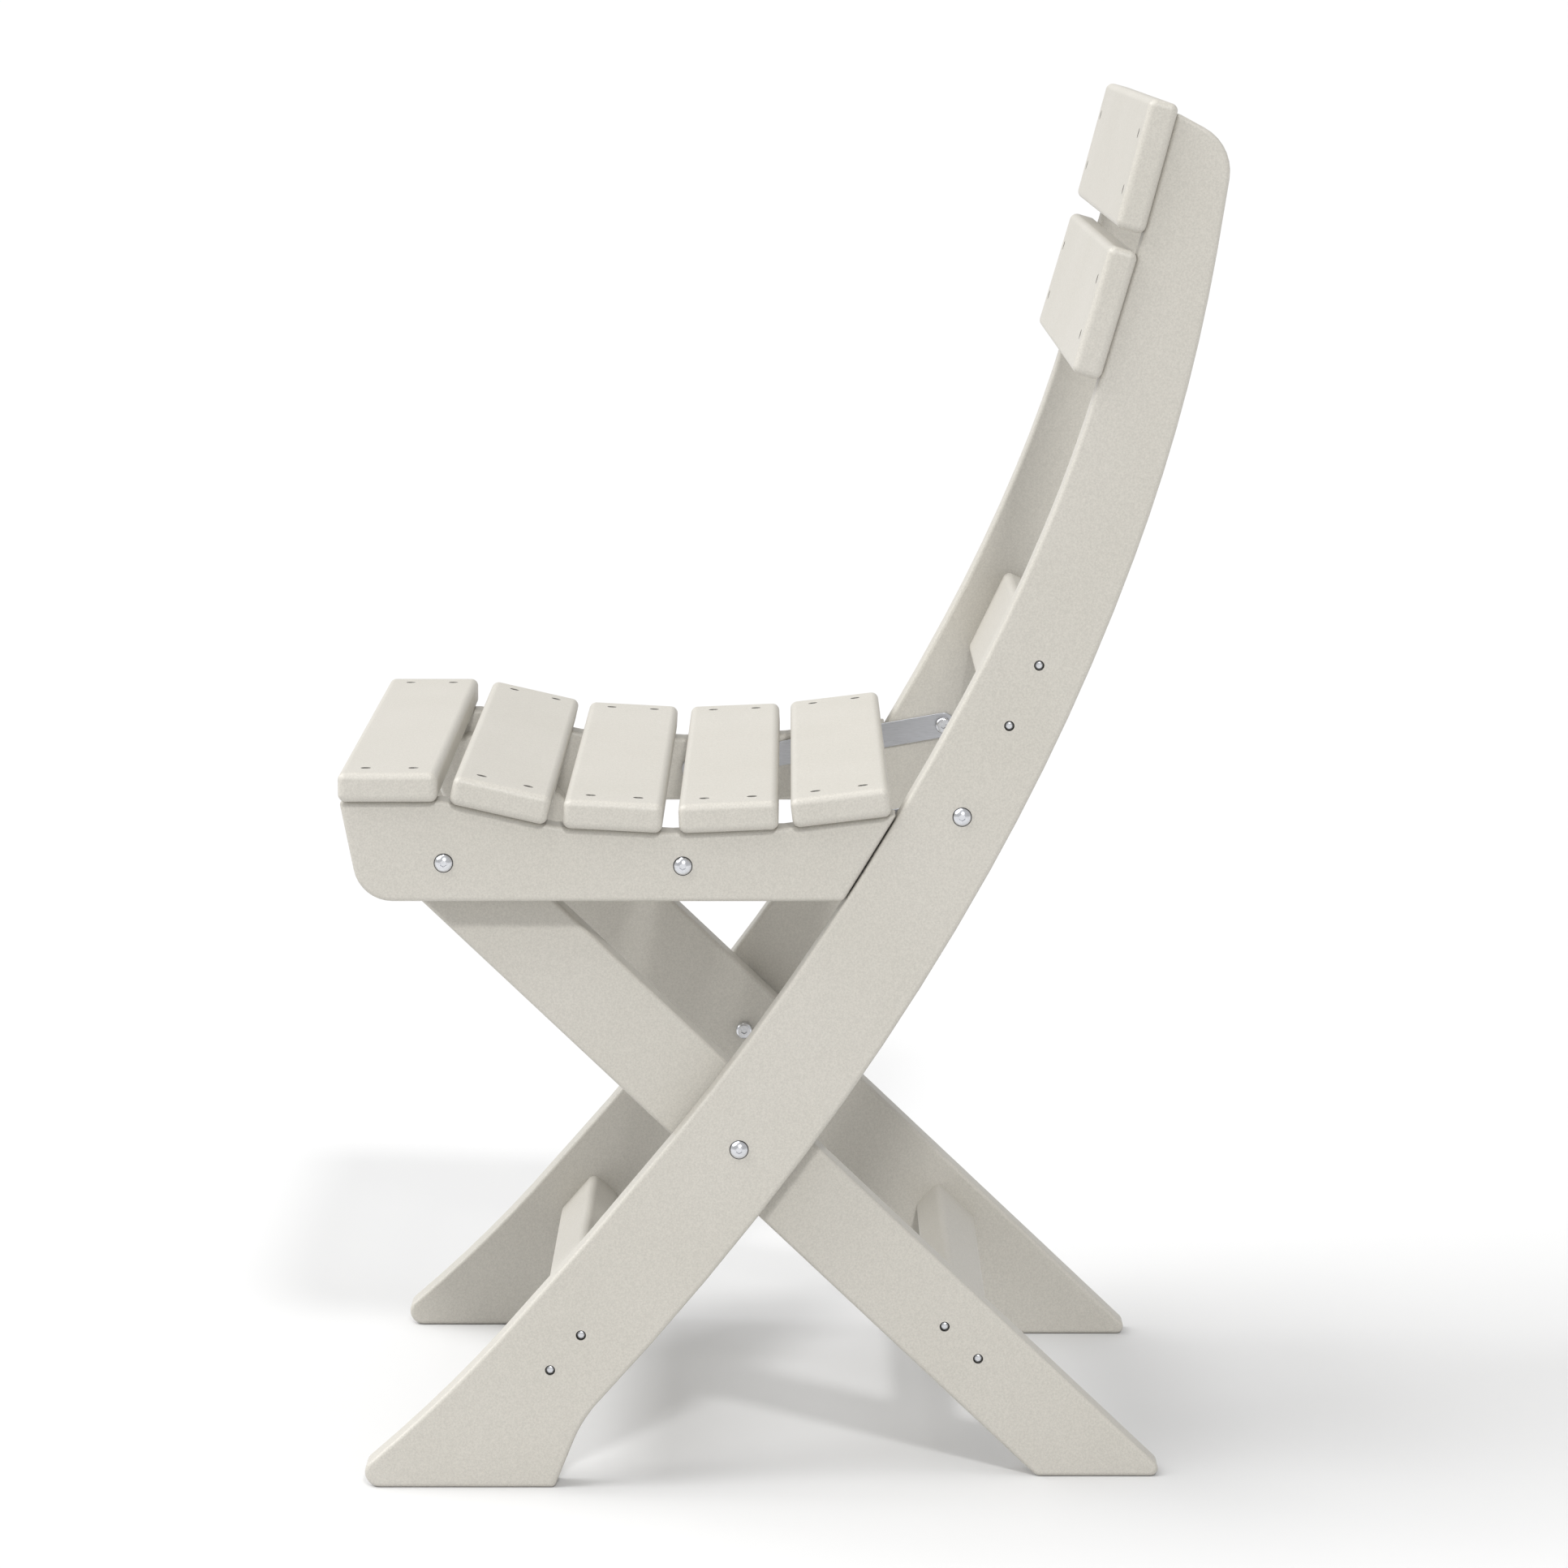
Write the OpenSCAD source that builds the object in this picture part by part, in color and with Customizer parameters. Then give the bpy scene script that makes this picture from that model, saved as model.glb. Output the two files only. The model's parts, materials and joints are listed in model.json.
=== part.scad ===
// Folding chair of flat lumber boards: two curved uprights, two straight rear
// legs that cross them, a dished slat seat and a two-slat back.
// Millimetres. X is across the chair, Y runs from front to back, Z is up.
// The chair stands open on the floor with its four feet on Z = 0.
// Left is the side of a seated person's left hand, at positive X.

/* [Boards] */
// Thickness of the uprights, rear legs and seat rails
board_t = 25.4; // [19:0.1:32]
// Thickness of the slats
slat_t = 19; // [15:0.5:25]
// Radius on the long edges of slats and stretchers
slat_round = 5; // [1:0.5:6]

/* [Width] */
// Outer width across the two uprights
frame_w = 472; // [420:1:520]
// Length of the seat and back slats
slat_len = 488; // [430:1:540]
// Gap between upright and rear leg, filled by a washer
leg_gap = 2.4; // [1.5:0.1:4]

/* [Seat] */
// Width of a seat slat
seat_slat_w = 63.5; // [50:0.5:75]
// Height of the lower edge of the seat rails
rail_bottom = 385; // [360:1:410]
// Distance between the two screws at a slat end
seat_screw_gap = 30.5; // [20:0.5:45]

/* [Back] */
// Width of a back slat
back_slat_w = 83.5; // [60:0.5:100]
// Distance between the two screws at a back slat end
back_screw_gap = 36.5; // [20:0.5:60]

/* [Rear legs] */
// Width of a rear leg
leg_w = 60; // [45:0.5:70]
// Angle of the rear legs above the floor
leg_slope = 43.7; // [40:0.1:50]
// Rearmost reach of the rear feet
leg_reach = 246.4; // [230:0.2:260]

/* [Stretchers] */
// Width of the two foot stretchers
foot_bar_w = 38.1; // [30:0.1:60]
// Width of the back stretcher
back_bar_w = 63.5; // [50:0.5:80]
// Distance between the two screws at a foot stretcher end
foot_screw_gap = 30.6; // [15:0.2:34]
// Distance between the two screws at a back stretcher end
back_bar_gap = 43; // [20:0.5:55]

/* [Link straps] */
// Width of a steel link strap
strap_w = 17.4; // [14:0.2:22]
// Thickness of a steel link strap
strap_t = 1.8; // [1.5:0.1:2]

/* [Hardware] */
// Diameter of the pivot bolts
bolt_d = 6.4; // [5:0.1:8]
// Diameter of the domed bolt heads
bolt_head_d = 12.4; // [10:0.2:16]
// Height of the domed bolt heads
bolt_head_h = 3.4; // [2:0.1:5]
// Diameter of the round nuts
nut_d = 11.6; // [10:0.2:16]
// Diameter of the wood screws
screw_d = 4; // [3:0.1:5]

/* [Hidden] */
$fn = 48;
eps = 0.02;            // cutters start this far outside a face
fit = 0.05;            // radial clearance of every shank in its hole
part_gap = 0.2;        // gap along a pivot between two moving pieces

// Pivot points as [Y, Z]
P_LEG = [-26.7, 223.5];    // rear leg on upright
P_SEAT = [-215.1, 410];    // seat rail on rear leg
P_LINK = [-62.4, 408.1];   // link strap on seat rail
P_BACK = [115.7, 439.7];   // link strap on upright

// Board stations along X
x_out = frame_w / 2;
x_in = x_out - board_t;
leg_out = x_in - leg_gap;
leg_in = leg_out - board_t;
strap_in = x_in - part_gap - strap_t;
screw_inset = 17;          // slat screws, from the upright's outer face
screw_x = x_out - screw_inset;

// Upright outline: [arc length, bend in degrees] steps from the foot up
FRONT_START = [-259.6, 0, 180];
FRONT_EDGE = [[15.7, -90], [7.7, -49.5], [120, 7.5], [170, 3], [170, 6],
  [170, 5], [120, 5.5], [100, 6], [87, 0], [8, 1.5], [88, 0]];
LOWER_FLAT = 8;            // step that carries the lower back slat
UPPER_FLAT = 10;           // step that carries the upper back slat
REAR_START = [-148.6, 0, 0];
REAR_EDGE = [[3.5, 68], [30.5, 0], [32, -20.5], [210, 6.25], [220, 7.5],
  [220, 9], [200, 10.25], [46.5, 1], [38, 70]];
ARC_STEP = 1.6;            // degrees in one facet of a long curve
CORNER_STEP = 10;          // degrees in one facet of a corner
STRAP_STEP = 7.5;          // degrees in one facet of a strap's round end
NOSE_STEP = 15;            // degrees in one facet of a rear foot's nose

// Seat rail top: knees between the slats, front to back
KNEES = [[-281.5, 450], [-215.5, 450], [-143.5, 433.5], [-69, 429.5],
  [2.5, 432.5], [72, 441]];
SLAT_SHIFT = [-1.5, -1, -1, 0.5, 2.5]; // slat off the middle between its knees
RAIL_NOSE = [-248.1, 410, 25]; // centre Y, Z and radius of the front corner
RAIL_GAP = 0.9;            // rail end to upright
RAIL_END = [504, 572];     // stations on the front edge beside the rail end

// Stretcher middles as [Y, Z, angle]
FRONT_BAR = [-139, 89.7, 49];
REAR_BAR = [117.6, 89.6, -44.5];
BACK_BAR = [154.8, 517.6, 64.1];

// Back slat middles, as a distance along their flats
LOWER_AT = 43.5;
UPPER_AT = 44;

// Screws
screw_head_r = 2.9;        // countersunk head
screw_sink = 1.6;          // head top below the surface
screw_head_h = 2.6;
pit_r = 3.3;               // counterbore around the head
screw_len = 36;            // slat screws
bar_screw_len = 50;        // stretcher screws
steel_head_r = 2.8;        // stretcher screw heads
foot_nose_r = 5;
foot_nose_y = leg_reach - foot_nose_r;
head_back = 3;             // rear leg's round end sits below its pivot

// Bolts, nuts and washers
socket_r = 2.3;            // hex socket, across corners
head_socket = 2.2;         // depth in a bolt head
nut_socket = 2.5;          // depth in a nut
nut_floor = 2;             // closed end of a nut's bore
tip_in = 2.5;              // bolt tip, from the nut's closed end
nut_long = 8;              // nuts inside the rear legs
nut_short = 5;             // nuts inside the straps
washer_r = 8;

lumber = [0.68, 0.63, 0.56];
steel = [0.72, 0.73, 0.75];

// ---- outline functions ----

// One step along a tangent arc; a state is [Y, Z, heading]
function advance(s, len, bend) =
  let (r = bend == 0 ? 0 : len * 180 / (bend * PI))
  bend == 0
    ? [s[0] + len * cos(s[2]), s[1] + len * sin(s[2]), s[2]]
    : [s[0] + r * (sin(s[2] + bend) - sin(s[2])),
       s[1] - r * (cos(s[2] + bend) - cos(s[2])), s[2] + bend];

// State after the first n steps of an edge
function state(start, edge, n) =
  n == 0 ? start
    : let (q = state(start, edge, n - 1)) advance(q, edge[n - 1][0], edge[n - 1][1]);

// Facets used for one step
function facets(g) =
  max(1, ceil(abs(g[1]) / (abs(g[1]) > 30 ? CORNER_STEP : ARC_STEP)));

// Points of a whole edge
function edge_points(start, edge) = [
  for (i = [0:len(edge) - 1])
    let (q = state(start, edge, i), g = edge[i], m = facets(g))
    for (j = [(i == 0 ? 0 : 1):m])
      let (t = advance(q, g[0] * j / m, g[1] * j / m)) [t[0], t[1]]
];

// State at a distance along an edge
function along(start, edge, d, i = 0) =
  d <= edge[i][0] || i == len(edge) - 1
    ? advance(state(start, edge, i), d, edge[i][1] * d / edge[i][0])
    : along(start, edge, d - edge[i][0], i + 1);

// Crossing of two lines, each given as a state
function crossing(a, b) =
  let (den = cos(a[2]) * sin(b[2]) - sin(a[2]) * cos(b[2]),
       t = ((b[0] - a[0]) * sin(b[2]) - (b[1] - a[1]) * cos(b[2])) / den)
  [a[0] + t * cos(a[2]), a[1] + t * sin(a[2])];

// Point beside a state, to its left
function beside(s, d) = [s[0] - d * sin(s[2]), s[1] + d * cos(s[2])];

// Points of an arc about a centre
function arc(c, r, a0, a1, step) =
  let (m = ceil(abs(a1 - a0) / step))
  [for (j = [0:m]) let (a = a0 + (a1 - a0) * j / m) c + r * [cos(a), sin(a)]];

front_points = edge_points(FRONT_START, FRONT_EDGE);
rear_points = edge_points(REAR_START, REAR_EDGE);
top_corner = crossing(state(FRONT_START, FRONT_EDGE, UPPER_FLAT),
  state(REAR_START, REAR_EDGE, len(REAR_EDGE)));

// Back slats stand on the flats of the front edge
lower_mid = advance(state(FRONT_START, FRONT_EDGE, LOWER_FLAT), LOWER_AT, 0);
upper_mid = advance(state(FRONT_START, FRONT_EDGE, UPPER_FLAT), UPPER_AT, 0);

// Rear leg: centre line through the foot, and its round head
leg_dir = [-cos(leg_slope), sin(leg_slope)];
leg_normal = [sin(leg_slope), cos(leg_slope)];
leg_offset = foot_nose_y * leg_normal[0] + foot_nose_r * leg_normal[1]
  + foot_nose_r - leg_w / 2;
leg_head = leg_normal * leg_offset + leg_dir * (P_SEAT * leg_dir - head_back);
leg_heel = [(leg_offset - leg_w / 2) / leg_normal[0], 0];

// Seat slats: state at the middle of each seat slat's underside
function slat_seat(i) =
  let (a = KNEES[i], b = KNEES[i + 1], h = atan2(b[1] - a[1], b[0] - a[0]))
  advance([(a[0] + b[0]) / 2, (a[1] + b[1]) / 2, h], SLAT_SHIFT[i], 0);

// ---- helpers ----

// Children drawn in a [Y, Z, angle] frame: local Y along it, local Z to its left
module at(s) {
  translate([0, s[0], s[1]])
    rotate([s[2], 0, 0])
      children();
}

// Extrude a [Y, Z] outline along X from x0 to x1
module across(x0, x1) {
  translate([x0, 0, 0])
    rotate([90, 0, 90])
      linear_extrude(x1 - x0)
        children();
}

// Cylinder along X through a [Y, Z] point
module pin(p, r, x0, x1) {
  translate([x0, p[0], p[1]])
    rotate([0, 90, 0])
      cylinder(r = r, h = x1 - x0);
}

module both_sides() {
  children();
  mirror([1, 0, 0])
    children();
}

// Rounded rectangle, centred along Y and standing on Z = 0
module rounded_bar(w, t) {
  r = slat_round;
  translate([-w / 2 + r, 0])
    square([w - 2 * r, t]);
  translate([-w / 2, r])
    square([w, t - 2 * r]);
  for (y = [-w / 2 + r, w / 2 - r], z = [r, t - r])
    translate([y, z])
      circle(r);
}

// Positions of the screws of a slat, in its own frame at its top face
module slat_screw_spots(gap, t) {
  for (x = [-screw_x, screw_x], y = [-gap / 2, gap / 2])
    translate([x, y, t])
      children();
}

// A slat with its counterbored screw holes, standing on local Z = 0
module slat(w, gap) {
  difference() {
    across(-slat_len / 2, slat_len / 2)
      rounded_bar(w, slat_t);
    slat_screw_spots(gap, slat_t) {
      translate([0, 0, -screw_sink - screw_head_h])
        cylinder(r = pit_r, h = screw_sink + screw_head_h + eps);
      translate([0, 0, -slat_t - eps])
        cylinder(r = screw_d / 2 + fit, h = slat_t);
    }
  }
}

// Wood screw pointing down from the surface at local Z = 0
module slat_screw() {
  translate([0, 0, -screw_sink - screw_head_h])
    cylinder(r = screw_head_r, h = screw_head_h);
  translate([0, 0, -screw_len])
    cylinder(r = screw_d / 2, h = screw_len - screw_sink - screw_head_h);
}

module slat_screw_hole() {
  translate([0, 0, -screw_len - fit])
    cylinder(r = screw_d / 2 + fit, h = screw_len);
}

// Ends of a stretcher bar: the two screw points as [Y, Z]
function bar_spots(s, gap, t) =
  [for (d = [-gap / 2, gap / 2]) beside(advance(s, d, 0), t / 2)];

// State of a bar's underside from its middle
function bar_base(s, t) =
  let (q = beside(s, -t / 2)) [q[0], q[1], s[2]];

module bar(s, w, t, half) {
  base = bar_base(s, t);
  difference() {
    at(base)
      across(-half, half)
        rounded_bar(w, t);
    children();
  }
}

// Screws through a side board into a bar's end, board outer face at x
module bar_screws(s, gap, t, x) {
  for (p = bar_spots(bar_base(s, t), gap, t)) {
    pin(p, steel_head_r, x - screw_sink - screw_head_h, x - screw_sink);
    pin(p, screw_d / 2, x - bar_screw_len, x - screw_sink - screw_head_h);
  }
}

module bar_screw_holes(s, gap, t, x) {
  for (p = bar_spots(bar_base(s, t), gap, t)) {
    pin(p, pit_r, x - screw_sink - screw_head_h, x + eps);
    pin(p, screw_d / 2 + fit, x - bar_screw_len - fit, x);
  }
}

// Domed bolt: head seated on the face at x_out, shank inwards to x_tip
module dome_bolt(p, x_tip) {
  r = bolt_head_d / 2;
  h = bolt_head_h;
  dome_r = (r * r + h * h) / (2 * h);
  difference() {
    union() {
      intersection() {
        translate([x_out + h - dome_r, p[0], p[1]])
          rotate([0, 90, 0])
            rotate_extrude()
              intersection() {
                circle(dome_r);
                translate([0, -dome_r])
                  square([dome_r, 2 * dome_r]);
              }
        pin(p, r, x_out, x_out + h + eps);
      }
      pin(p, bolt_d / 2, x_tip, x_out + h / 2);
    }
    translate([x_out + h - head_socket, p[0], p[1]])
      rotate([0, 90, 0])
        cylinder(r = socket_r, h = head_socket + 1, $fn = 6);
  }
}

// Round nut with a hex socket in its outer end, between x0 and x1
module round_nut(p, x0, x1) {
  difference() {
    pin(p, nut_d / 2, x0, x1);
    pin(p, bolt_d / 2 + fit, x0 + nut_floor, x1 + eps);
    translate([x0 - eps, p[0], p[1]])
      rotate([0, 90, 0])
        cylinder(r = socket_r, h = nut_socket, $fn = 6);
  }
}

module washer(p) {
  difference() {
    pin(p, washer_r, leg_out, x_in - part_gap);
    pin(p, bolt_d / 2 + fit, leg_out - eps, x_in);
  }
}

// ---- side boards ----

module upright() {
  color(lumber)
    difference() {
      across(x_in, x_out)
        polygon(concat(
          [for (i = [0:len(front_points) - 2]) front_points[i]],
          [top_corner],
          [for (i = [len(rear_points) - 1:-1:0]) rear_points[i]]));
      for (p = [P_LEG, P_BACK])
        pin(p, bolt_d / 2 + fit, x_in - eps, x_out + eps);
      bar_screw_holes(FRONT_BAR, foot_screw_gap, board_t, x_out);
      bar_screw_holes(BACK_BAR, back_bar_gap, slat_t, x_out);
      for (s = [lower_mid, upper_mid])
        at(s)
          slat_screw_spots(back_screw_gap, slat_t)
            slat_screw_hole();
    }
}

module upright_left() {
  upright();
}

module upright_right() {
  mirror([1, 0, 0])
    upright();
}

module rear_leg() {
  nose_a = atan2(leg_normal[1], leg_normal[0]);
  color(lumber)
    difference() {
      across(leg_in, leg_out)
        polygon(concat(
          arc(leg_head, leg_w / 2, nose_a, nose_a + 180, CORNER_STEP),
          [leg_heel],
          arc([foot_nose_y, foot_nose_r], foot_nose_r, -90, nose_a, NOSE_STEP)));
      for (p = [P_LEG, P_SEAT])
        pin(p, bolt_d / 2 + fit, leg_in - eps, leg_out + eps);
      bar_screw_holes(REAR_BAR, foot_screw_gap, board_t, leg_out);
    }
}

module rear_leg_left() {
  rear_leg();
}

module rear_leg_right() {
  mirror([1, 0, 0])
    rear_leg();
}

module seat_rail() {
  nose = [RAIL_NOSE[0], RAIL_NOSE[1]];
  r = RAIL_NOSE[2];
  lean = atan2(KNEES[0][1] - nose[1], KNEES[0][0] - nose[0]);
  reach = norm(KNEES[0] - nose);
  low = beside(along(FRONT_START, FRONT_EDGE, RAIL_END[0]), RAIL_GAP);
  high = beside(along(FRONT_START, FRONT_EDGE, RAIL_END[1]), RAIL_GAP);
  rise = atan2(high[1] - low[1], high[0] - low[0]);
  color(lumber)
    difference() {
      across(x_in, x_out)
        polygon(concat(
          arc(nose, r, lean + acos(r / reach), 270, CORNER_STEP),
          [crossing([0, rail_bottom, 0], [low[0], low[1], rise])],
          [crossing([KNEES[4][0], KNEES[4][1], atan2(KNEES[5][1] - KNEES[4][1],
            KNEES[5][0] - KNEES[4][0])], [low[0], low[1], rise])],
          [for (i = [4:-1:0]) KNEES[i]]));
      for (p = [P_SEAT, P_LINK])
        pin(p, bolt_d / 2 + fit, x_in - eps, x_out + eps);
      for (i = [0:4])
        at(slat_seat(i))
          slat_screw_spots(seat_screw_gap, slat_t)
            slat_screw_hole();
    }
}

module seat_rail_left() {
  seat_rail();
}

module seat_rail_right() {
  mirror([1, 0, 0])
    seat_rail();
}

// ---- slats ----

module seat_slat(i) {
  color(lumber)
    at(slat_seat(i))
      slat(seat_slat_w, seat_screw_gap);
}

module seat_slat_1() { seat_slat(0); }
module seat_slat_2() { seat_slat(1); }
module seat_slat_3() { seat_slat(2); }
module seat_slat_4() { seat_slat(3); }
module seat_slat_5() { seat_slat(4); }

module back_slat_upper() {
  color(lumber)
    at(upper_mid)
      slat(back_slat_w, back_screw_gap);
}

module back_slat_lower() {
  color(lumber)
    at(lower_mid)
      slat(back_slat_w, back_screw_gap);
}

// ---- stretchers ----

module back_stretcher() {
  color(lumber)
    bar(BACK_BAR, back_bar_w, slat_t, x_in)
      both_sides()
        bar_screw_holes(BACK_BAR, back_bar_gap, slat_t, x_out);
}

module front_foot_stretcher() {
  color(lumber)
    bar(FRONT_BAR, foot_bar_w, board_t, x_in)
      both_sides()
        bar_screw_holes(FRONT_BAR, foot_screw_gap, board_t, x_out);
}

module rear_foot_stretcher() {
  color(lumber)
    bar(REAR_BAR, foot_bar_w, board_t, leg_in)
      both_sides()
        bar_screw_holes(REAR_BAR, foot_screw_gap, board_t, leg_out);
}

// ---- steel straps ----

module link_strap() {
  x1 = x_in - part_gap;
  x0 = x1 - strap_t;
  run = atan2(P_BACK[1] - P_LINK[1], P_BACK[0] - P_LINK[0]);
  color(steel)
    difference() {
      across(x0, x1)
        polygon(concat(
          arc(P_LINK, strap_w / 2, run + 90, run + 270, STRAP_STEP),
          arc(P_BACK, strap_w / 2, run - 90, run + 90, STRAP_STEP)));
      pin(P_LINK, bolt_d / 2 + fit, x0 - eps, x1 + eps);
      pin(P_BACK, bolt_d / 2 + fit, x0 - eps, x1 + eps);
    }
}

module link_strap_left() {
  link_strap();
}

module link_strap_right() {
  mirror([1, 0, 0])
    link_strap();
}

// ---- fasteners ----

module seat_slat_screws() {
  color(steel)
    for (i = [0:4])
      at(slat_seat(i))
        slat_screw_spots(seat_screw_gap, slat_t)
          slat_screw();
}

module back_slat_screws() {
  color(steel)
    for (s = [lower_mid, upper_mid])
      at(s)
        slat_screw_spots(back_screw_gap, slat_t)
          slat_screw();
}

module back_stretcher_screws() {
  color(steel)
    both_sides()
      bar_screws(BACK_BAR, back_bar_gap, slat_t, x_out);
}

module front_stretcher_screws() {
  color(steel)
    both_sides()
      bar_screws(FRONT_BAR, foot_screw_gap, board_t, x_out);
}

module rear_stretcher_screws() {
  color(steel)
    both_sides()
      bar_screws(REAR_BAR, foot_screw_gap, board_t, leg_out);
}

module leg_pivot_bolts() {
  color(steel)
    both_sides()
      dome_bolt(P_LEG, leg_in - part_gap - nut_long + tip_in);
}

module leg_pivot_nuts() {
  color(steel)
    both_sides()
      round_nut(P_LEG, leg_in - part_gap - nut_long, leg_in - part_gap);
}

module link_rear_bolts() {
  color(steel)
    both_sides()
      dome_bolt(P_BACK, strap_in - part_gap - nut_short + tip_in);
}

module link_rear_nuts() {
  color(steel)
    both_sides()
      round_nut(P_BACK, strap_in - part_gap - nut_short, strap_in - part_gap);
}

module link_front_bolts() {
  color(steel)
    both_sides()
      dome_bolt(P_LINK, strap_in - part_gap - nut_short + tip_in);
}

module link_front_nuts() {
  color(steel)
    both_sides()
      round_nut(P_LINK, strap_in - part_gap - nut_short, strap_in - part_gap);
}

// The seat pivot is open: the outer half turns with the seat rail
module seat_pivot_bolts() {
  color(steel)
    both_sides()
      dome_bolt(P_SEAT, x_in);
}

// The inner half stays in the rear leg
module seat_pivot_studs() {
  color(steel)
    both_sides() {
      pin(P_SEAT, bolt_d / 2, leg_in, x_in - part_gap);
      difference() {
        pin(P_SEAT, nut_d / 2, leg_in - nut_long, leg_in);
        translate([leg_in - nut_long - eps, P_SEAT[0], P_SEAT[1]])
          rotate([0, 90, 0])
            cylinder(r = socket_r, h = nut_socket, $fn = 6);
      }
    }
}

module leg_pivot_washers() {
  color(steel)
    both_sides()
      washer(P_LEG);
}

module seat_pivot_washers() {
  color(steel)
    both_sides()
      washer(P_SEAT);
}

upright_left();
upright_right();
back_slat_upper();
back_slat_lower();
back_stretcher();
front_foot_stretcher();
back_slat_screws();
back_stretcher_screws();
front_stretcher_screws();
leg_pivot_bolts();
leg_pivot_nuts();
link_rear_bolts();
link_rear_nuts();
link_strap_left();
link_strap_right();
seat_rail_left();
seat_rail_right();
seat_slat_1();
seat_slat_2();
seat_slat_3();
seat_slat_4();
seat_slat_5();
seat_slat_screws();
link_front_bolts();
link_front_nuts();
seat_pivot_bolts();
rear_leg_left();
rear_leg_right();
rear_foot_stretcher();
rear_stretcher_screws();
seat_pivot_studs();
leg_pivot_washers();
seat_pivot_washers();
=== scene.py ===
# %% [markdown]
# # A folding chair of plastic lumber
# The chair is already exact in CAD: boards, bolts, straps and screws, each in
# its place. This lesson gives it the looks of the real thing. Sawn boards get
# soft routed edges, the lumber gets its fine speckle, and the hardware gets a
# bright satin finish. First the CAD model comes in as a fixed frame.

# %% Load the frame
import json
from math import cos, radians, sin
import bmesh
import bpy
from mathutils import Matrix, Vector


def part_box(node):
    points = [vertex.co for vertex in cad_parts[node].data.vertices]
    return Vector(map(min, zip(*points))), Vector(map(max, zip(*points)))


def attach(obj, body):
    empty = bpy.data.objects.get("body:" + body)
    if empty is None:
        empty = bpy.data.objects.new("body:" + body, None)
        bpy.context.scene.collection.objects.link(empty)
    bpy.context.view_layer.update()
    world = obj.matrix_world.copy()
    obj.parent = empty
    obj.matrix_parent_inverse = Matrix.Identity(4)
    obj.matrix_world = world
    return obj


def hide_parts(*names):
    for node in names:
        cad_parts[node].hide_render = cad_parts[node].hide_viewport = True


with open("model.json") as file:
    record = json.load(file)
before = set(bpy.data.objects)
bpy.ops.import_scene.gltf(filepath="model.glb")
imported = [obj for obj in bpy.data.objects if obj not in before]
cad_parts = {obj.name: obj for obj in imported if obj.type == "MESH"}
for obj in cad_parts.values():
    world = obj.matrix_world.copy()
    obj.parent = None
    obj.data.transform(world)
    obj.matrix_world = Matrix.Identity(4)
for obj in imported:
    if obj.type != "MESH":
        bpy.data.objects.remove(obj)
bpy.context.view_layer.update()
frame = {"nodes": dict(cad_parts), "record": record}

# %% [markdown]
# The camera stands well to the chair's left and looks across it with a long
# lens, slightly downwards. A long lens keeps the boards from fanning out, so
# the far legs show just beside the near ones.

# %% Camera
CAMERA_AT = (3.815, 0.0055, 0.9764)
LOOK_DOWN = 8.194    # degrees below level
LOOK_LEFT = 0.053    # degrees off square to the chair
LENS = 130.4
FAR_CLIP = 1000      # past the far edge of the floor

scene = bpy.context.scene
camera = bpy.data.objects.new("camera", bpy.data.cameras.new("camera"))
scene.collection.objects.link(camera)
camera.location = CAMERA_AT
camera.rotation_euler = (radians(90 - LOOK_DOWN), 0, radians(90 + LOOK_LEFT))
camera.data.lens = LENS
camera.data.clip_end = FAR_CLIP
scene.camera = camera
print("camera", camera.location[:], "lens", camera.data.lens)

# %% [markdown]
# ## The lumber
# Plastic lumber is one colour all through: a pale warm grey with a sandy
# speckle from the recycled flakes. The skin has a soft sheen and a very fine
# orange peel. Noise textures on Object coordinates stay fixed to each board,
# and a slow, wide noise keeps long boards from looking painted.

# %% Material helpers
def new_material(name):
    material = bpy.data.materials.new(name)
    material.use_nodes = True
    nodes = material.node_tree.nodes
    shader = nodes["Principled BSDF"]
    return material, nodes, material.node_tree.links, shader


def noise(nodes, links, scale, detail=2.0, rough=0.5):
    place = nodes.get("Texture Coordinate") or nodes.new("ShaderNodeTexCoord")
    texture = nodes.new("ShaderNodeTexNoise")
    texture.inputs["Scale"].default_value = scale
    texture.inputs["Detail"].default_value = detail
    texture.inputs["Roughness"].default_value = rough
    links.new(place.outputs["Object"], texture.inputs["Vector"])
    return texture


def ramp(nodes, links, source, low, high, start=0.3, stop=0.7):
    between = nodes.new("ShaderNodeValToRGB")
    between.color_ramp.elements[0].position = start
    between.color_ramp.elements[1].position = stop
    between.color_ramp.elements[0].color = (*low, 1)
    between.color_ramp.elements[1].color = (*high, 1)
    links.new(source, between.inputs["Fac"])
    return between


def multiply(nodes, links, first, second):
    mix = nodes.new("ShaderNodeMix")
    mix.data_type = "RGBA"
    mix.blend_type = "MULTIPLY"
    mix.inputs["Factor"].default_value = 1.0
    links.new(first, mix.inputs["A"])
    links.new(second, mix.inputs["B"])
    return mix


# %% Speckled lumber
SAND = (0.522, 0.500, 0.453)
# PIT_SHADE darkens the lumber for painted shade on the walls of drilled holes
PIT_SHADE = 0.35     # drilled lumber, against the skin
FLAKES = 900         # noise scales, in features per metre
ORANGE_PEEL = 700
SKIN_GLOSS = 260
CLOUDS = 9


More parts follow.
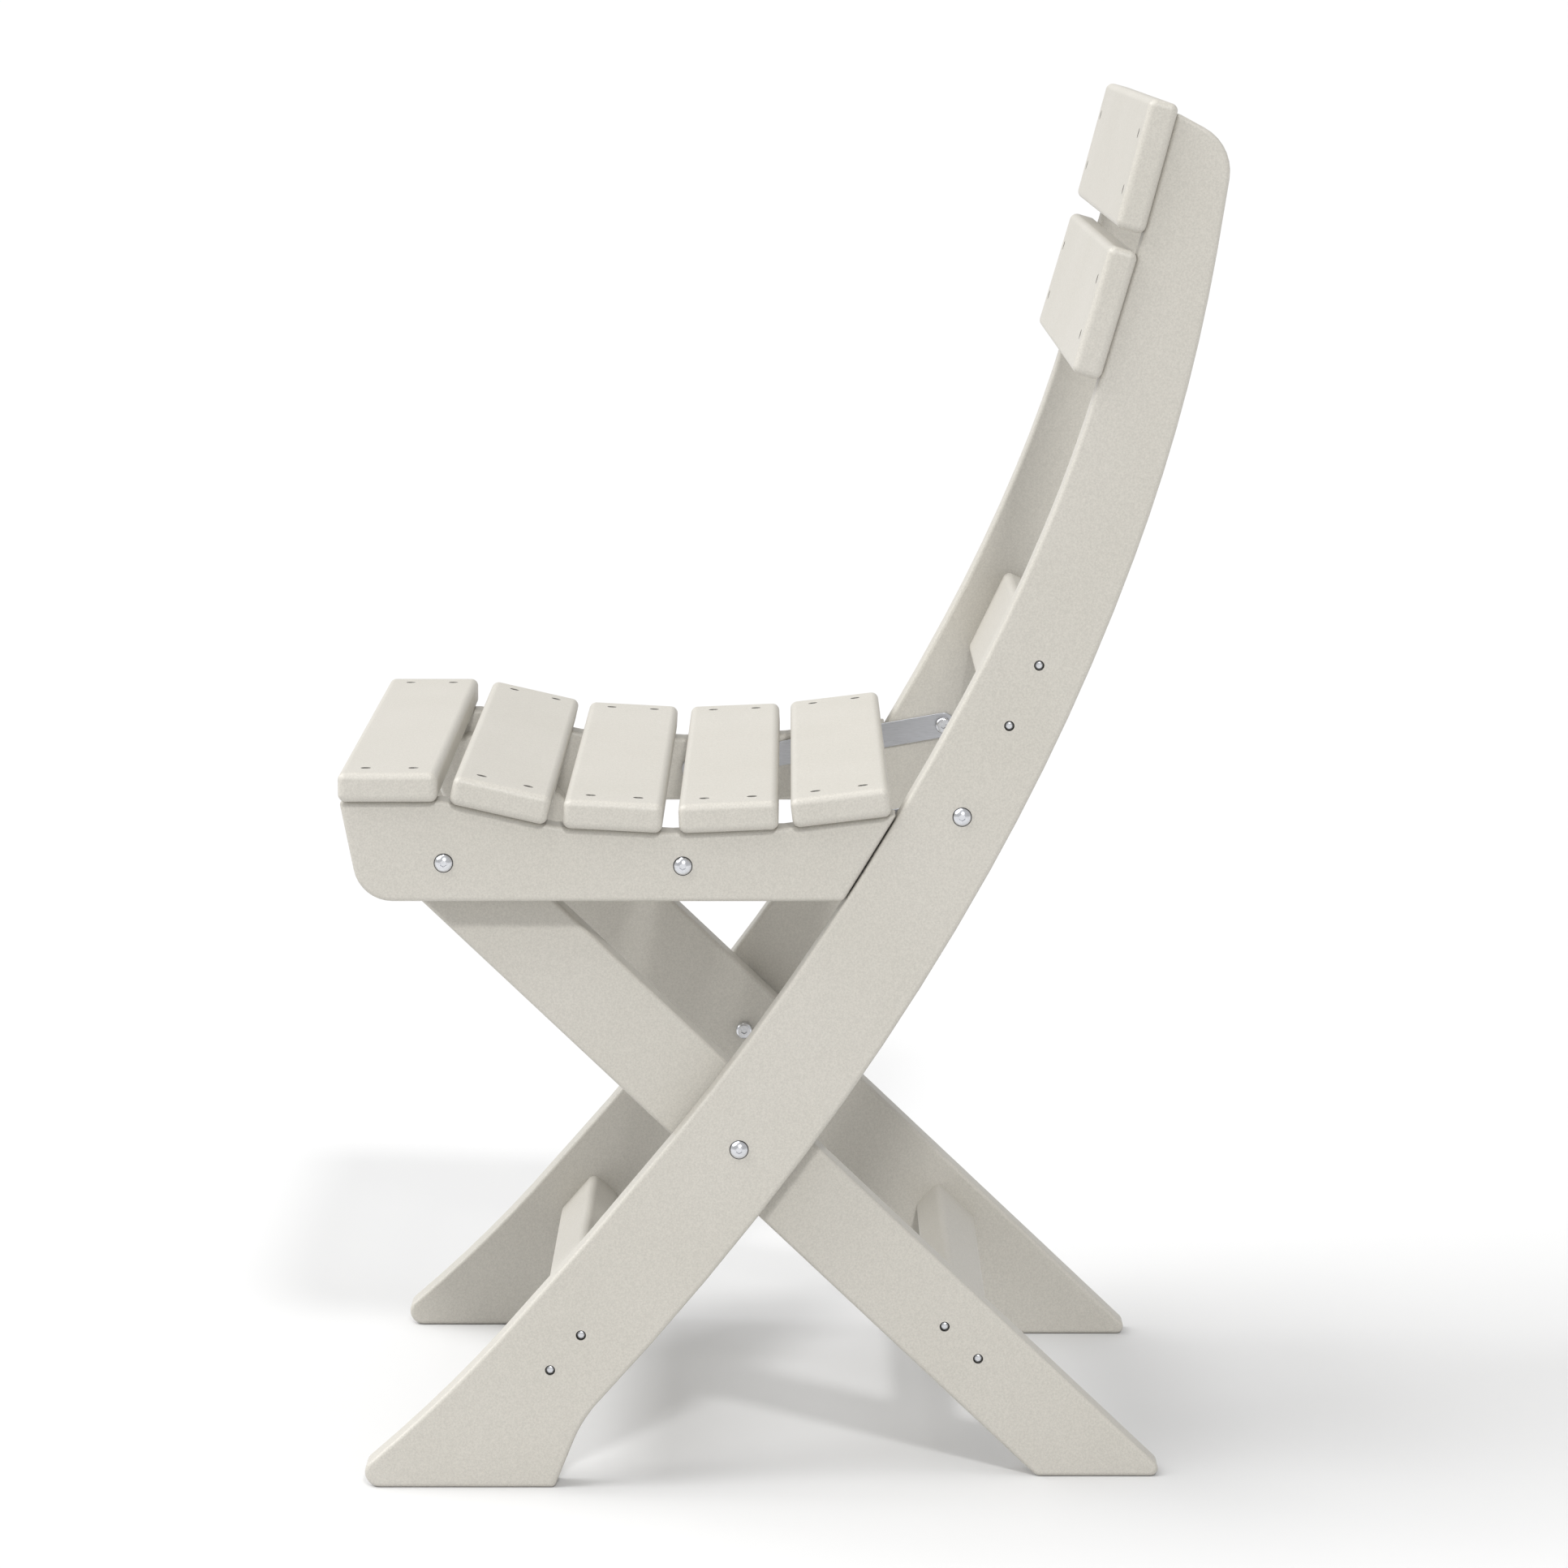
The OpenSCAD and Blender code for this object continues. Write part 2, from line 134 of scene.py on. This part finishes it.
def speckled(name, colour):
    material, nodes, links, shader = new_material(name)
    darker, lighter = [c * 0.90 for c in colour], [min(1, c * 1.07) for c in colour]
    speckle = ramp(nodes, links, noise(nodes, links, FLAKES, 3.0, 0.65).outputs["Fac"],
                   darker, lighter, 0.34, 0.66)
    cloud = ramp(nodes, links, noise(nodes, links, CLOUDS, 2.0).outputs["Fac"],
                 (0.965, 0.965, 0.955), (1, 1, 1), 0.3, 0.7)
    tinted = multiply(nodes, links, speckle.outputs["Color"], cloud.outputs["Color"])
    links.new(tinted.outputs["Result"], shader.inputs["Base Color"])
    sheen = nodes.new("ShaderNodeMapRange")
    sheen.inputs["To Min"].default_value = 0.38
    sheen.inputs["To Max"].default_value = 0.52
    links.new(noise(nodes, links, SKIN_GLOSS, 3.0).outputs["Fac"], sheen.inputs["Value"])
    links.new(sheen.outputs["Result"], shader.inputs["Roughness"])
    peel = nodes.new("ShaderNodeBump")
    peel.inputs["Strength"].default_value = 0.25
    peel.inputs["Distance"].default_value = 0.0002
    links.new(noise(nodes, links, ORANGE_PEEL, 2.0).outputs["Fac"], peel.inputs["Height"])
    links.new(peel.outputs["Normal"], shader.inputs["Normal"])
    shader.inputs["IOR"].default_value = 1.5
    print("made", name)
    return material


lumber = speckled("speckled_lumber", SAND)
# a darker copy of the lumber: painted shade for the walls of drilled holes
pit_painted_shade_lumber = speckled("painted_pit_shade_lumber", [c * PIT_SHADE for c in SAND])

# %% [markdown]
# ## The hardware
# Bolts, nuts and washers are bare stainless steel, so the shader is fully
# metallic, and its tint and roughness change only a little over the surface.
# The straps are flat bar with a brushed finish: a noise stretched along their
# length draws the fine lines. A nearly black steel serves as shadow in the
# narrow gaps round the screw heads.

# %% Steel finishes
BOLT_TINT = (0.72, 0.73, 0.76)
SCREW_TINT = (0.66, 0.67, 0.69)
STRAP_TINT = (0.55, 0.56, 0.59)
SHADOW_TINT = (0.03, 0.03, 0.032)
POLISH_GRAIN = 900   # noise scales, in features per metre
BRUSHED_GRAIN = 400
ALONG_STRAP = (6, 0.4, 6)


def steel(name, tint, smooth, coarse, scale, stretch=(1, 1, 1)):
    material, nodes, links, shader = new_material(name)
    shader.inputs["Metallic"].default_value = 1.0
    grain = noise(nodes, links, scale, 3.0)
    stretched = nodes.new("ShaderNodeMapping")
    stretched.inputs["Scale"].default_value = stretch
    links.new(nodes["Texture Coordinate"].outputs["Object"], stretched.inputs["Vector"])
    links.new(stretched.outputs["Vector"], grain.inputs["Vector"])
    colour = ramp(nodes, links, grain.outputs["Fac"],
                  [c * 0.9 for c in tint], tint, 0.35, 0.65)
    links.new(colour.outputs["Color"], shader.inputs["Base Color"])
    gloss = nodes.new("ShaderNodeMapRange")
    gloss.inputs["To Min"].default_value = smooth
    gloss.inputs["To Max"].default_value = coarse
    links.new(grain.outputs["Fac"], gloss.inputs["Value"])
    links.new(gloss.outputs["Result"], shader.inputs["Roughness"])
    print("made", name)
    return material


bolt_steel = steel("stainless_bolt", BOLT_TINT, 0.16, 0.30, POLISH_GRAIN)
screw_steel = steel("stainless_screw", SCREW_TINT, 0.22, 0.38, POLISH_GRAIN)
strap_steel = steel("satin_strap", STRAP_TINT, 0.24, 0.36, BRUSHED_GRAIN, ALONG_STRAP)
painted_gap_shadow = steel("shadow_gap", SHADOW_TINT, 0.5, 0.7, POLISH_GRAIN)

# %% [markdown]
# ## Boards with routed edges
# The uprights, rear legs and seat rails are sawn from flat board and then run
# past a small round-over cutter. CAD leaves their edges square, so each board
# is copied, its loose triangles are merged into clean faces, and the outline
# on both flat sides is bevelled. Bolt holes and screw pits stay crisp: they
# are found as the small loops among the edges, and skipped.

# %% Copy a CAD board
SAME_POINT = 1e-5
SAME_PLANE = 0.4     # degrees


def board_mesh(node):
    bm = bmesh.new()
    bm.from_mesh(frame["nodes"][node].data)
    bmesh.ops.remove_doubles(bm, verts=bm.verts, dist=SAME_POINT)
    bmesh.ops.dissolve_limit(bm, angle_limit=radians(SAME_PLANE), verts=bm.verts,
                             edges=bm.edges, use_dissolve_boundaries=False)
    return bm


# %% Find the outline of a board
SMALLEST_LOOP = 0.02     # anything smaller is a bolt hole or a screw pit
CORNER_BEND = 28         # degrees between two faces that meet at a corner
CORNER_LENGTH = 0.015    # corners run right through the board
SIDEWAYS = 0.99          # part of a flat side's normal that lies along X


def loops_of(edges):
    left, groups = set(edges), []
    while left:
        group, open_edges = [], [left.pop()]
        while open_edges:
            edge = open_edges.pop()
            group.append(edge)
            near = {e for v in edge.verts for e in v.link_edges if e in left}
            left -= near
            open_edges.extend(near)
        groups.append(group)
    return groups


def spread(edges):
    points = [v.co for e in edges for v in e.verts]
    return max((p - points[0]).length for p in points)


def outline_edges(bm):
    def flat(face):
        return abs(face.normal.x) > SIDEWAYS
    rims = [e for e in bm.edges if len(e.link_faces) == 2
            and flat(e.link_faces[0]) != flat(e.link_faces[1])]
    keep = [e for group in loops_of(rims) if spread(group) > SMALLEST_LOOP for e in group]
    corners = [e for e in bm.edges if len(e.link_faces) == 2
               and not any(flat(f) for f in e.link_faces)
               and e.calc_face_angle(0) > radians(CORNER_BEND)
               and abs(e.verts[0].co.x - e.verts[1].co.x) > CORNER_LENGTH]
    return keep + corners


# %% [markdown]
# The walls of a drilled hole lie in shade, and that shade is painted on. Every small ring
# of sharp edges is the rim of one, and the smaller of the two faces that meet at each
# of its edges is part of its wall, so that face takes the lumber with painted shade.

# %% Paint shade into the drilled holes
WIDEST_HOLE = 0.008
RIM_BEND = 60            # degrees


def shade_pits(bm):
    corners = [e for e in bm.edges if len(e.link_faces) == 2
               and e.calc_face_angle(0) > radians(RIM_BEND)]
    for group in loops_of(corners):
        if spread(group) < WIDEST_HOLE:
            for edge in group:
                # painted shade: the wall face takes the darkened lumber
                min(edge.link_faces, key=lambda f: f.calc_area()).material_index = 1


# %% [markdown]
# Every copy ends the same way: it becomes an object with smooth shading that
# breaks only at real corners, it rides on its body, and it stands for the CAD
# node that it was copied from.

# %% Turn a bmesh into a finished piece
def finish_piece(bm, name, body, materials, node, sharp=40):
    mesh = bpy.data.meshes.new(name)
    bm.to_mesh(mesh)
    bm.free()
    for material in materials:
        mesh.materials.append(material)
    for face in mesh.polygons:
        face.use_smooth = True
    mesh.set_sharp_from_angle(angle=radians(sharp))
    piece = bpy.data.objects.new(name, mesh)
    scene.collection.objects.link(piece)
    weighted = piece.modifiers.new("even_normals", "WEIGHTED_NORMAL")
    weighted.keep_sharp = True
    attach(piece, body)
    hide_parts(node)
    print(name, len(mesh.polygons), "faces")
    return piece


# %% Round over the edges
def soften(bm, edges, radius, segments=3):
    bmesh.ops.bevel(bm, geom=edges, offset=radius, offset_type="OFFSET",
                    affect="EDGES", segments=segments, profile=0.5,
                    material=-1, clamp_overlap=False)


# %% Side boards
SIDE_BOARDS = {
    "upright_left": "back_frame", "upright_right": "back_frame",
    "rear_leg_left": "rear_leg_frame", "rear_leg_right": "rear_leg_frame",
    "seat_rail_left": "seat", "seat_rail_right": "seat"}
BOARD_EDGE = 0.003

for node, body in SIDE_BOARDS.items():
    bm = board_mesh(node)
    shade_pits(bm)
    soften(bm, outline_edges(bm), BOARD_EDGE)
    finish_piece(bm, node + "_board", body, [lumber, pit_painted_shade_lumber], node)

# %% [markdown]
# ## Slats
# The slats carry the same rounding on every edge, a little wider than the
# side boards'. CAD has already rounded them along their length, so only the
# outline of each end is left to bevel, just short of the long rounding so
# that the two meet in a ball corner.

# %% Seat and back slats
SLATS = {f"seat_slat_{i}": "seat" for i in range(1, 6)}
SLATS.update({"back_slat_upper": "back_frame", "back_slat_lower": "back_frame"})
SLAT_EDGE = 0.0048

for node, body in SLATS.items():
    bm = board_mesh(node)
    shade_pits(bm)
    soften(bm, outline_edges(bm), SLAT_EDGE, 5)
    finish_piece(bm, node + "_board", body, [lumber, pit_painted_shade_lumber], node)

# %% [markdown]
# ## Stretchers
# The three stretchers fit between the side boards, so only their long edges
# show. They are rounded like the slats, and CAD has that shape already: their
# meshes stay, and take the lumber finish further down.
#
# ## Domed nuts
# Each pivot bolt ends in a barrel nut with a rounded end. CAD makes the nut as
# a plain cylinder with its hex socket, so a copy gets a wide round-over.

# %% Nuts
NUTS = {"leg_pivot_nuts": "back_frame", "link_rear_nuts": "back_frame",
        "link_front_nuts": "seat", "seat_pivot_studs": "rear_leg_frame"}
NUT_EDGE = 0.0019


def nut_end_rims(bm, node):
    low, high = (Vector(corner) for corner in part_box(node))
    centre, radius = ((low + high) / 2).yz, (high.z - low.z) / 2

    def at_rim(v):
        return abs((v.co.yz - centre).length - radius) < 10 * SAME_POINT
    inner = min(abs(v.co.x) for v in bm.verts if at_rim(v))
    return [e for e in bm.edges if all(at_rim(v) and abs(abs(v.co.x) - inner) < SAME_POINT
                                       for v in e.verts)]


for node, body in NUTS.items():
    bm = board_mesh(node)
    soften(bm, nut_end_rims(bm, node), NUT_EDGE, 4)
    finish_piece(bm, node + "_domed", body, [bolt_steel], node, 50)

# %% [markdown]
# ## Link straps
# The straps are cut from flat bar, and the cut leaves a narrow rounded edge
# that catches the light as a fine bright line. A bevel of a third of a
# millimetre is enough, and it is worth having because the edge shows.

# %% Straps
STRAPS = ["link_strap_left", "link_strap_right"]
STRAP_EDGE = 0.00035

for node in STRAPS:
    bm = board_mesh(node)
    soften(bm, outline_edges(bm), STRAP_EDGE, 2)
    finish_piece(bm, node + "_bar", "link_straps", [strap_steel], node)

# %% [markdown]
# ## Screws
# Every screw sits in its drilled pit: a bright domed head with a narrow
# gap of shade around it. The flat CAD head is inset once for a ring of painted shadow
# that stands for that gap, then stepped up three times, which smooth shading turns into a
# dome.

# %% Screws
SCREWS = {"back_slat_screws": "back_frame", "back_stretcher_screws": "back_frame",
          "front_stretcher_screws": "back_frame", "seat_slat_screws": "seat",
          "rear_stretcher_screws": "rear_leg_frame"}
HEAD_AREA = 2.2e-5   # any round face larger than this is the top of a head
# width of the painted shadow ring at the edge of each screw head
PAINTED_SHADOW_RING = 0.0003
DOME = [(0.0004, 0.0003), (0.0006, 0.0002), (0.0007, 0.0001)]  # inset and rise

for node, body in SCREWS.items():
    bm = board_mesh(node)
    caps = [f for f in bm.faces if len(f.verts) > 8 and f.calc_area() > HEAD_AREA]
    for cap in caps:
        ring = bmesh.ops.inset_region(bm, faces=[cap], thickness=PAINTED_SHADOW_RING)["faces"]
        # painted shadow: the outer ring of each head takes the near-black steel
        for face in ring:
            face.material_index = 1
        for width, rise in DOME:
            bmesh.ops.inset_region(bm, faces=[cap], thickness=width, depth=rise)
    print(node, len(caps), "heads")
    finish_piece(bm, node + "_domed", body, [screw_steel, painted_gap_shadow], node, 60)

# %% [markdown]
# ## Pivot bolts
# The bolt heads are polished domes with a shallow hex socket. Round the foot of
# each dome runs a hairline of shadow, so the shader darkens a narrow band at
# the rim, measured from the bolt's own axis.

# %% Bolts with a dark foot line
RING_START, RING_STOP = 0.0054, 0.0058   # from the bolt's axis
RING_DARK = (0.035, 0.037, 0.045, 1)


def ringed_bolt(node):
    material = bolt_steel.copy()
    material.name = "polished_" + node
    nodes, links = material.node_tree.nodes, material.node_tree.links
    low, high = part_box(node)
    to_axis = nodes.new("ShaderNodeMapping")
    to_axis.inputs["Scale"].default_value = (0, 1, 1)
    to_axis.inputs["Location"].default_value = (0, -(low[1] + high[1]) / 2,
                                                -(low[2] + high[2]) / 2)
    links.new(nodes["Texture Coordinate"].outputs["Object"], to_axis.inputs["Vector"])
    away = nodes.new("ShaderNodeVectorMath")
    away.operation = "LENGTH"
    links.new(to_axis.outputs["Vector"], away.inputs[0])
    edge = nodes.new("ShaderNodeMapRange")
    edge.inputs["From Min"].default_value = RING_START
    edge.inputs["From Max"].default_value = RING_STOP
    links.new(away.outputs["Value"], edge.inputs["Value"])
    darker = nodes.new("ShaderNodeMix")
    darker.data_type = "RGBA"
    darker.inputs["B"].default_value = RING_DARK
    links.new(edge.outputs["Result"], darker.inputs["Factor"])
    shader = nodes["Principled BSDF"]
    links.new(shader.inputs["Base Color"].links[0].from_socket, darker.inputs["A"])
    links.new(darker.outputs["Result"], shader.inputs["Base Color"])
    return material


BOLTS = ["leg_pivot_bolts", "link_rear_bolts", "link_front_bolts", "seat_pivot_bolts"]
ringed = {node: ringed_bolt(node) for node in BOLTS}
print("ringed", len(ringed), "kinds of bolt")

# %% [markdown]
# ## Parts that keep their CAD mesh
# Bolts, washers and stretchers already have their true shape, so their meshes
# stay and only their material changes. The record says which finish each part
# has, and the bolts take their own ringed steel.

# %% Carried-over parts
FINISHES = {"bolts": bolt_steel, "screws": screw_steel, "strap": strap_steel,
            "lumber": lumber}
slot_of = {p["node"]: p["material_slot"] for p in frame["record"]["subparts"]}
for name, node in frame["nodes"].items():
    node.data.materials.clear()
    node.data.materials.append(ringed.get(name, FINISHES[slot_of[name]]))
print("finished", len(frame["nodes"]), "CAD parts")

# %% [markdown]
# ## Studio
# The chair stands on a wide pale floor that runs to the horizon, so no backdrop
# is needed. Lamps as far away as the sun light every board alike. The largest
# stands in front and makes the seat and the back slats the brightest faces, a
# sharper one beside the camera draws the shadows between the boards, and two
# weaker ones light the far side and the tops. A bright surround fills the rest
# and gives the steel something to reflect.

# %% Floor
FLOOR_REACH = 400
FLOOR_WHITE = (0.68, 0.68, 0.68, 1)

bm = bmesh.new()
bmesh.ops.create_grid(bm, x_segments=1, y_segments=1, size=FLOOR_REACH)
mesh = bpy.data.meshes.new("floor")
bm.to_mesh(mesh)
bm.free()
floor = bpy.data.objects.new("floor", mesh)
scene.collection.objects.link(floor)
white, _, _, shader = new_material("studio_white")
shader.inputs["Base Color"].default_value = FLOOR_WHITE
shader.inputs["Roughness"].default_value = 0.6
shader.inputs["Specular IOR Level"].default_value = 0.2
mesh.materials.append(white)
print("floor", 2 * FLOOR_REACH, "m across")

# %% Light
SURROUND = 0.60


def softbox(name, power, turn, height, size):
    lamp = bpy.data.objects.new(name, bpy.data.lights.new(name, "SUN"))
    lamp.data.energy = power
    lamp.data.angle = radians(size)
    flat = cos(radians(height))
    towards = Vector((flat * cos(radians(turn)), flat * sin(radians(turn)),
                      sin(radians(height))))
    lamp.rotation_euler = (-towards).to_track_quat("-Z", "Y").to_euler()
    scene.collection.objects.link(lamp)


# power, direction round the chair (0 at the camera, -90 in front), height, size
softbox("front_key", 1.80, -80, 49, 45)
softbox("near_key", 1.22, 10, 38, 6)
softbox("far_fill", 0.85, -120, 40, 40)
softbox("overhead", 0.40, -60, 80, 20)
world = bpy.data.worlds.new("studio")
scene.world = world
world.use_nodes = True
world.node_tree.nodes["Background"].inputs["Color"].default_value = (1, 1, 1, 1)
world.node_tree.nodes["Background"].inputs["Strength"].default_value = SURROUND
scene.view_settings.view_transform = "Standard"
print("lit")
